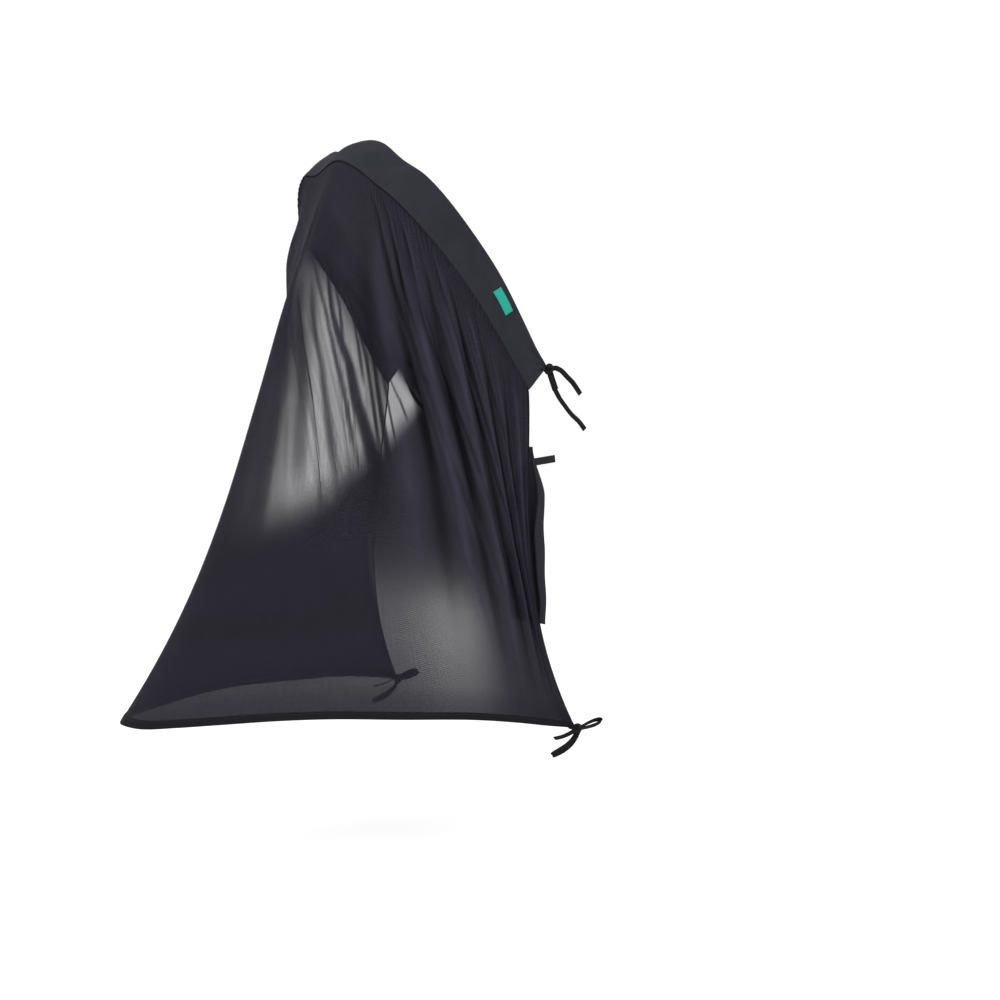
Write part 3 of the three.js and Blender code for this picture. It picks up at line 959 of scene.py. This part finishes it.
    def seam(self) -> Object:
        """Returns the seam allowance, which joins the net's top to the band from the inside."""

        def place(around: Array, down: Array) -> Array:
            """The allowance, from under the band to under the net's top."""
            low = over(self.drape.band, around, np.full_like(down, 0.9), -1.5 * MM)
            high = over(self.place, around, np.full_like(down, 0.012), -0.5 * MM)
            return mix(low, high, down[:, None])

        return self.maker.cloth("seam_allowance", np.linspace(-0.995, 0.995, 401), np.linspace(0, 1, 6),
                                place, (1.0, 0.012), BAND_CLOTH, "net_mesh", 0.5)

    def edges(self) -> list[Object]:
        """Returns the narrow rolled hems of the net's two rear edges."""
        pieces = []
        for name, side in SIDES:
            def place(run: Array, turn: Array, side: int = side) -> Array:
                """The rolled edge, with run down along it and turn round it."""
                angle = 2 * np.pi * turn
                inward = 1.9 * (1 - np.cos(angle)) / HALF_SEAM
                lift = 1.15 * np.sin(angle) * side
                around = side * (1 - inward)
                return over(self.place, around, np.clip(run, 0.002, 0.998), lift * MM)

            mesh, _, _ = self.maker.grid(np.linspace(0, 1, 161), np.linspace(0, 1, 13), place, (0.79, 0.01))
            bm = bmesh.new()
            bm.from_mesh(mesh)
            bmesh.ops.remove_doubles(bm, verts=bm.verts, dist=1e-6)
            rims = [edge for edge in bm.edges if edge.is_boundary]
            bmesh.ops.holes_fill(bm, edges=rims)
            bmesh.ops.recalc_face_normals(bm, faces=bm.faces)
            bm.to_mesh(mesh)
            bm.free()
            pieces.append(self.maker.finish(f"rear_hem_{name}", mesh, BINDING, "net_mesh"))
        return pieces

    def sewing(self) -> Object:
        """Returns the stitches along the hem."""
        return self.maker.sew("hem_stitches", self.place, np.linspace(-0.99, 0.99, 700),
                              1 - 0.72 * HEM_SHARE, 1.5, "net_mesh")


@dataclass
class RimBand:
    """The opaque band over the rim, with its hems, topstitching and label."""

    drape: Drape
    maker: Maker
    thickness: float = 1.3
    label_from: float = 0.736
    label_to: float = 0.8125
    label_outer: float = 0.215
    label_inner: float = 0.515
    label_slant: float = 0.045
    label_lift: float = 1.25

    def relief(self, around: Array, down: Array) -> Array:
        """How far the band's hems, creases and puckers stand off it, in metres."""
        share = np.abs(around)
        hem = 0.55 * (1 - smooth(down, 0.13, 0.16)) + 0.6 * smooth(down, 0.865, 0.89)
        groove = -0.4 * (bell(down, 0.135, 0.012) + bell(down, 0.9, 0.012))
        wave = 1.2 * np.sin(around * 17 + 1.3) * np.sin(np.pi * down)
        wave += 0.9 * np.sin(around * 41 + 4 * down) * np.sin(np.pi * down)
        pucker = 0.45 * np.sin(around * 300 + 2 * np.sin(around * 37)) * np.exp(-(1 - down) / 0.12)
        pucker *= smooth(share, 0.05, 0.25)
        # The cloth is drawn into the knot at each end, so small pleats run out from there
        along, across = (1 - share) * HALF_SEAM, down * BAND_FALL
        beyond = np.hypot(along, across) + 1e-6
        turn = np.arctan2(across, along)
        drawn = 1.9 * np.sin(turn * 13) * bell(beyond, 14, 20)
        return (hem + groove + wave + pucker + drawn) * MM

    def place(self, around: Array, down: Array) -> Array:
        """The band with its relief, and with its ends drawn into the knots."""
        point = over(self.drape.band, around, down, self.relief(around, down))
        pulled = 0.85 * smooth(np.abs(around), 0.95, 1) * (1 - np.clip(down, 0, 1)) ** 0.6
        return mix(point, toward(UPPER_KNOT, around), pulled[:, None])

    def build(self) -> None:
        """Makes the band, its stitches and its label."""
        rows = np.unique(np.concatenate((np.linspace(0, 1, 25), np.linspace(0.1, 0.17, 8),
                                         np.linspace(0.86, 0.93, 8))))
        length = self.drape.seam.length
        band = self.maker.cloth("rim_band", np.linspace(-1, 1, 481), rows, self.place,
                                (length, 0.052), BAND_CLOTH, "band_fabric", self.thickness)
        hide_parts("canopy_band")
        places = np.linspace(-0.992, 0.992, 900)
        threads = [self.maker.sew(f"band_{name}_stitches", self.place, places, at, 0.75, "band_fabric")
                   for name, at in (("edge", 0.135), ("seam", 0.9))]
        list(self.label())

    def label(self) -> list[Object]:
        """Returns the bare woven label and its stitches."""
        middle = (self.label_outer + self.label_inner) / 2

        def place(around: Array, down: Array, lift: float = self.label_lift) -> Array:
            """The label's middle, a lift in millimetres off the band's relief."""
            leant = around - self.label_slant * (down - middle)
            return over(self.drape.band, leant, down, self.relief(leant, down) + lift * MM)

        columns = np.linspace(self.label_from, self.label_to, 25)
        rows = np.linspace(self.label_outer, self.label_inner, 17)
        label = self.maker.cloth("side_label_cloth", columns, rows, place, (0.034, 0.014), LABEL_SATIN,
                                 "label_fabric", 0.8, rim=2)
        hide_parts("side_label")
        inset_around, inset_down = 0.0028, 0.03
        left, right = self.label_from + inset_around, self.label_to - inset_around
        top, foot = self.label_outer + inset_down, self.label_inner - inset_down
        shares = np.linspace(0, 4, 200)
        around = np.interp(shares, range(5), (left, right, right, left, left))
        down = np.interp(shares, range(5), (top, top, foot, foot, top))
        sewn = self.maker.stitches("label_stitches", place(around, down, self.label_lift + 0.45),
                                   normals(self.drape.band, around, down), "label_fabric", TEAL_THREAD,
                                   2.6, 1.9, 0.4)
        return [label, sewn]


@dataclass
class Ties:
    """The four tape ties: two knotted with free ends, and two tied in a bow."""
    maker: Maker
    long_end: tuple = ((208.25, 206.3, -336.7), (210.4, 211.7, -348), (213, 219.2, -359),
                       (214, 229.3, -371), (214, 242.4, -382), (213, 252.5, -393))
    short_end: tuple = ((207, 208.7, -307.5), (211, 214.1, -310.6), (213, 223.2, -319.6),
                        (213, 232.3, -327.7), (212, 240.4, -336.8), (211, 246.4, -343.8))
    upper_neck: tuple = (201.8, 188.4, -308.1)
    upper_wrap: tuple = (208, 201.5, -325.7)
    doubled: tuple = ((206.2, 199.6, -313), (208.4, 202.6, -325), (209.6, 206.6, -337))
    bow_rear: tuple = ((258.5, 213, -803), (261, 249, -794))
    bow_front: tuple = ((258.5, 213, -805), (261, 170, -835))
    thin_end: tuple = ((262, 208, -803), (263, 172, -812))
    hem_corner: tuple = (254.6, 200.5, -798.6)
    tape: float = 1.2

    @staticmethod
    def on_side(spots: Sequence[Sequence[float]], side: int) -> list[tuple[float, float, float]]:
        """Places on the near side, or their mirrors."""
        return [(side * x, y, z) for x, y, z in spots]

    def strip(self, route: Route, side: int, lean: float, count: int, width: float = TAPE_WIDTH,
              cup: float = 0.35) -> Mesh:
        """Makes tape along a route, with its face to the side and a light twist half way.

        Args:
            route: its middle.
            side: 1 on the near side, -1 on the far one.
            lean: the twist in radians.
            count: how many points it has.
            width: its width in millimetres.
            cup: as in Maker.ribbon.

        Returns:
            The tape's mesh.
        """
        points = route.at(np.linspace(0, 1, count))
        flat = np.cross(unit(np.gradient(points, axis=0)), ACROSS * side)
        turn = lean * np.sin(np.linspace(0, np.pi, count))[:, None] * side
        return self.maker.ribbon(points, flat * np.cos(turn) + ACROSS * np.sin(turn), width, cup)

    def cords(self) -> None:
        """Makes the four free tape ends of the upper ties."""
        for name, side in SIDES:
            for which, spots, lean in (("long", self.long_end, 0.25), ("short", self.short_end, -0.2)):
                route = Route(self.on_side(spots, side))
                points = route.at(np.linspace(0, 1, 41))
                piece = self.maker.finish(f"upper_{which}_tape_{name}", self.strip(route, side, lean, 41),
                                          TIE_TAPE, "tie_tape", self.tape)
                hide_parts(f"upper_{which}_end_{name}")

    def wrap(self, centre: Sequence[float], half: tuple[float, float], tilt: tuple[float, float, float],
             turns: float, width: float, drift: float = 1.5) -> Mesh:
        """Makes tape wound round a knot's middle.

        Args:
            centre: the knot's middle in millimetres.
            half: the ring's half sizes.
            tilt: its turns about the three axes, in radians.
            turns: how far the tape goes round.
            width: the tape's width.
            drift: how far its end lies beside its start.

        Returns:
            The tape's mesh.
        """
        angles = np.linspace(0, 2 * np.pi * turns, max(12, int(30 * turns)))
        aside = np.linspace(-1, 1, len(angles))
        tucked = 1 - 0.25 * np.abs(aside) ** 6
        ring = np.column_stack((half[0] * tucked * np.cos(angles), half[1] * tucked * np.sin(angles),
                                aside * drift / 2))
        turn = np.array(Matrix.Rotation(tilt[2], 3, "Z") @ Matrix.Rotation(tilt[1], 3, "Y")
                        @ Matrix.Rotation(tilt[0], 3, "X"))
        points = (ring @ turn.T + np.array(centre)) * MM
        return self.maker.ribbon(points, np.tile(turn[:, 2], (len(angles), 1)), width, -0.6)

    @staticmethod
    def core(centre: Sequence[float], half: Sequence[float], lean: float = 0.0) -> Mesh:
        """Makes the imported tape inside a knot.

        Args:
            centre: its middle in millimetres.
            half: its half sizes in millimetres.
            lean: its turn about the axis across the part, in radians.

        Returns:
            Its mesh.
        """
        bm = bmesh.new()
        place = Matrix.Translation(Vector(centre) * MM) @ Matrix.Rotation(lean, 4, "X")
        bmesh.ops.create_uvsphere(bm, u_segments=20, v_segments=12, radius=1,
                                  matrix=place @ Matrix.Diagonal((*(h * MM for h in half), 1)))
        mesh = as_mesh(bm, "core")
        mesh.uv_layers.new(name="cloth")
        return mesh

    def upper_knots(self) -> None:
        """Makes the knot at each end of the band."""
        for name, side in SIDES:
            knot, neck, tail = self.on_side((UPPER_KNOT, self.upper_neck, self.upper_wrap), side)
            wraps = [
                self.wrap(knot, (5.5, 6.9), (1.35, 0.15, 0.2), 1.15, 4.6),
                self.wrap(knot, (5.9, 6.7), (0.55, 0.5 * side, 0.1), 1.15, 4.6, 1.2),
                self.wrap(knot, (5.4, 7.1), (-0.5, 0.3 * side, 0.9), 1.1, 4.2, 2.6),
            ]
            # The tape runs on from inside the knot to where each free end begins
            for inside, spots in ((tail, self.long_end), (knot, self.short_end)):
                wraps.append(self.strip(Route([inside, *self.on_side(spots[:2], side)]), side, 0.0, 13))
            # Below the knot the long end is wrapped over itself once, so it is wider there
            wraps.append(self.strip(Route(self.on_side(self.doubled, side)), side, 0.0, 13, 9.6, -1.6 * side))
            outer = self.maker.finish(f"upper_knot_turns_{name}", self.maker.merged(wraps), TIE_TAPE,
                                      "tie_tape", self.tape)
            heart = self.maker.merged([self.core(knot, (5.3, 6.6, 6.8)),
                                       self.core(tail, (2.6, 3.6, 11.5), 0.42),
                                       self.core(neck, (2.4, 3.4, 7.5), -0.47)])
            self.maker.finish(f"upper_knot_heart_{name}", heart, TIE_TAPE, "tie_tape")
            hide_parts(f"upper_knot_{name}")

    def loop(self, ends: Sequence[Sequence[float]], side: int, open_by: float, twist: float,
             sag: float = 0.0) -> Mesh:
        """Makes one loop of a bow, out from the knot, round its tip and back.

        Args:
            ends: its root and its tip, in millimetres on the near side.
            side: 1 on the near side, -1 on the far one.
            open_by: half of how far its two runs lie apart, in millimetres.
            twist: its turn about its own line, in radians.
            sag: how far it hangs through half way, in millimetres.

        Returns:
            The loop's mesh.
        """
        start, end = np.array(self.on_side(ends, side))
        reach = end - start
        across = unit(np.cross(ACROSS, reach))
        turn = np.linspace(0.03, 0.97, 49)
        out = (1 - np.cos(2 * np.pi * turn)) / 2
        swell = np.sin(2 * np.pi * turn) * (0.35 + 0.65 * out)
        sunk = sag * np.sin(np.pi * out ** 0.8)
        points = (start + reach * out[:, None] + across * (open_by * swell + sunk)[:, None]) * MM
        angle = twist * (0.6 + 0.4 * np.sin(np.pi * turn))
        sides = np.cos(angle)[:, None] * ACROSS + np.sin(angle)[:, None] * across
        return self.maker.ribbon(points, sides, cup=0.2)

    def lower_bows(self) -> None:
        """Makes the bow at each rear corner of the hem."""
        for name, side in SIDES:
            knot = self.on_side([LOWER_KNOT], side)[0]
            start, end = np.array(self.on_side(self.thin_end, side))
            share = np.linspace(0, 1, 25)
            thin = start + (end - start) * share[:, None]
            thin[:, 2] -= 2 * np.sin(np.pi * share)
            corner = Route(self.on_side((self.hem_corner, LOWER_KNOT), side))
            turns = self.maker.merged([
                self.loop(self.bow_rear, side, 4.4, 1.0 * side),
                self.loop(self.bow_front, side, 2.2, 1.3 * side, 6.5),
                self.maker.ribbon(thin * MM, np.tile((1.0, 0.0, -0.45 * side), (25, 1))),
                self.strip(corner, side, 0.0, 9),
                self.wrap(knot, (5.8, 6.4), (1.4, 0.2, 0.1), 1.3, 6.0),
                self.wrap(knot, (5.4, 6.8), (0.4, 0.6 * side, 0.5), 1.2, 5.8, 1.0),
            ])
            bow = self.maker.finish(f"lower_bow_tape_{name}", turns, TIE_TAPE, "tie_tape", self.tape)
            heart = self.core(knot, (5.2, 6.4, 5.6))
            self.maker.finish(f"lower_bow_heart_{name}", heart, TIE_TAPE, "tie_tape")
            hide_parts(f"lower_bow_{name}")


@dataclass
class Pouch:
    """The limp bag at the net's near rear edge, in upright pleats, and its folded loop."""

    maker: Maker
    top: float = -415
    bottom: float = -660
    outer_x: float = 210.4
    painted_fold_shade: float = 70
    top_depth: float = 8
    pleats: float = 2.5
    swing: float = 17
    top_swing: float = 3
    lobe: float = 3

    def place(self, around: Array, down: Array) -> Array:
        """Middle of the pouch's two layers, pleated to and fro."""
        full = smooth(down, 0, 0.28)
        swing = mix(self.top_swing, self.swing, full)
        centre = mix(mix(166.8, 174, full), 179, down * down)
        wander = 0.012 * np.sin(down * 9 + around * 5)
        pleat = np.sin(2 * np.pi * self.pleats * (around + wander * full))
        lobe = self.lobe * pleat * smooth(down, 0.7, 1)
        creases = 0.9 * np.sin(around * 61 + 6 * down) * full + 0.7 * np.sin(down * 23 + around * 7) * full
        return np.column_stack((
            self.outer_x - mix(self.top_depth, self.painted_fold_shade, smooth(down, 0, 0.35)) * around,
            centre + (swing - 1.5) * pleat + creases,
            mix(self.top, self.bottom, down) - lobe,
        )) * MM

    def build(self) -> None:
        """Makes the pouch, its seam stitches and its loop."""
        pouch = self.maker.cloth("pouch_cloth", np.linspace(0, 1, 141), np.linspace(0, 1, 91), self.place,
                                 (0.19, 0.245), POUCH_CLOTH, "pouch_fabric", 2.2, rim=2)
        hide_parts("storage_pouch")
        sewn = self.maker.sew("pouch_stitches", self.place, np.linspace(0.01, 0.99, 300), 0.965, 1.15,
                              "pouch_fabric")
        self.loop()

    def loop(self) -> None:
        """Makes the flat folded tab at the pouch's top."""
        turn = np.linspace(0, 1, 41)
        out = 1 - np.abs(2 * turn - 1) ** 2.2
        points = np.column_stack((
            207.6 + 0.75 * np.cos(np.pi * turn) + 2 * np.sin(np.pi * out * 0.5) ** 2 - 0.4,
            173.0 + 33.0 * out,
            -436.2 + 4 * out,
        )) * MM
        sides = np.tile((0.0, -0.14, 1.0), (41, 1))
        mesh = self.maker.ribbon(points, sides, 10.2, 0.15)
        loop = self.maker.finish("pouch_loop_tape", mesh, POUCH_CLOTH, "pouch_fabric", 0.7)
        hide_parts("pouch_loop")


@dataclass(frozen=True)
class Studio:
    """The camera, the pale floor and the soft lights."""

    azimuth: float = 58.8
    elevation: float = 4.5
    lens: float = 82.3
    distance: float = 3.2
    crown_at: tuple[float, float] = (351.0, 150.0)
    floor: float = -1.0

    def camera(self) -> None:
        """Sets the camera at the photograph's angle, with the band's crown at its place."""
        a, e = math.radians(self.azimuth), math.radians(self.elevation)
        right = Vector((math.cos(a), math.sin(a), 0))
        back = Vector((math.sin(a) * math.cos(e), -math.cos(a) * math.cos(e), math.sin(e)))
        up = back.cross(right)
        focal = self.lens / 36 * 1000
        aside = (self.crown_at[0] - 500) / focal * self.distance
        above = (500 - self.crown_at[1]) / focal * self.distance
        crown = Vector((0, 0, -0.004))
        data = bpy.data.cameras.new("camera")
        data.lens = self.lens
        data.sensor_width = 36
        camera = add_object("camera", data)
        turn = Matrix((right, up, back)).transposed().to_4x4()
        at = crown + back * self.distance - right * aside - up * above
        camera.matrix_world = Matrix.Translation(at) @ turn
        bpy.context.scene.camera = camera

    @staticmethod
    def light(name: str, place: Sequence[float], size: float, power: float) -> None:
        """Adds a soft square light that looks at the net's middle."""
        data = bpy.data.lights.new(name, "AREA")
        data.size = size
        data.energy = power
        light = add_object(name, data)
        light.location = place
        aim = Vector((0, -0.05, -0.45)) - Vector(place)
        light.rotation_euler = aim.to_track_quat("-Z", "Y").to_euler()

    def build(self) -> None:
        """Makes the floor, the world and the lights."""
        bm = bmesh.new()
        bmesh.ops.create_circle(bm, cap_ends=True, segments=96, radius=9,
                                matrix=Matrix.Translation((0, 0, self.floor)))
        mesh = as_mesh(bm, "floor")
        mesh.materials.append(Shader("matt_white_floor").surface({
            "Base Color": linear("#fbfbfb"), "Roughness": 0.95, "Specular IOR Level": 0.1}))
        add_object("floor", mesh)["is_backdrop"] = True
        bpy.context.scene.view_settings.view_transform = "Standard"
        world = bpy.data.worlds.new("studio")
        world.use_nodes = True
        light = world.node_tree.nodes["Background"].inputs
        light["Color"].default_value = linear("#fafafb")
        light["Strength"].default_value = 1.08
        bpy.context.scene.world = world
        self.light("key", (3.2, -2.6, 1.9), 2.2, 110)
        self.light("fill", (-2.4, -2.8, 1.2), 2.6, 25)
        self.light("back", (-0.8, 3.0, 1.6), 2.2, 30)


def main() -> list[list[float]]:
    """Builds the scene.

    Returns:
        The CAD model's box, as its lowest and highest corner.
    """
    logging.basicConfig(level=logging.INFO, format="%(name)s: %(message)s")
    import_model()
    cad_box = [list(map(float, corner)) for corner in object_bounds()]
    Studio().camera()
    maker = Maker()
    ties = Ties(maker)
    ties.cords()
    drape = Drape()
    RimBand(drape, maker).build()
    NetBody(drape, maker).build()
    ties.upper_knots()
    ties.lower_bows()
    Pouch(maker).build()
    Studio().build()
    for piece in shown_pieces():
        LOG.info("%s: %d faces", piece.name, len(piece.data.polygons))
    return cad_box


if __name__ == "__main__":
    CAD_BOX = main()
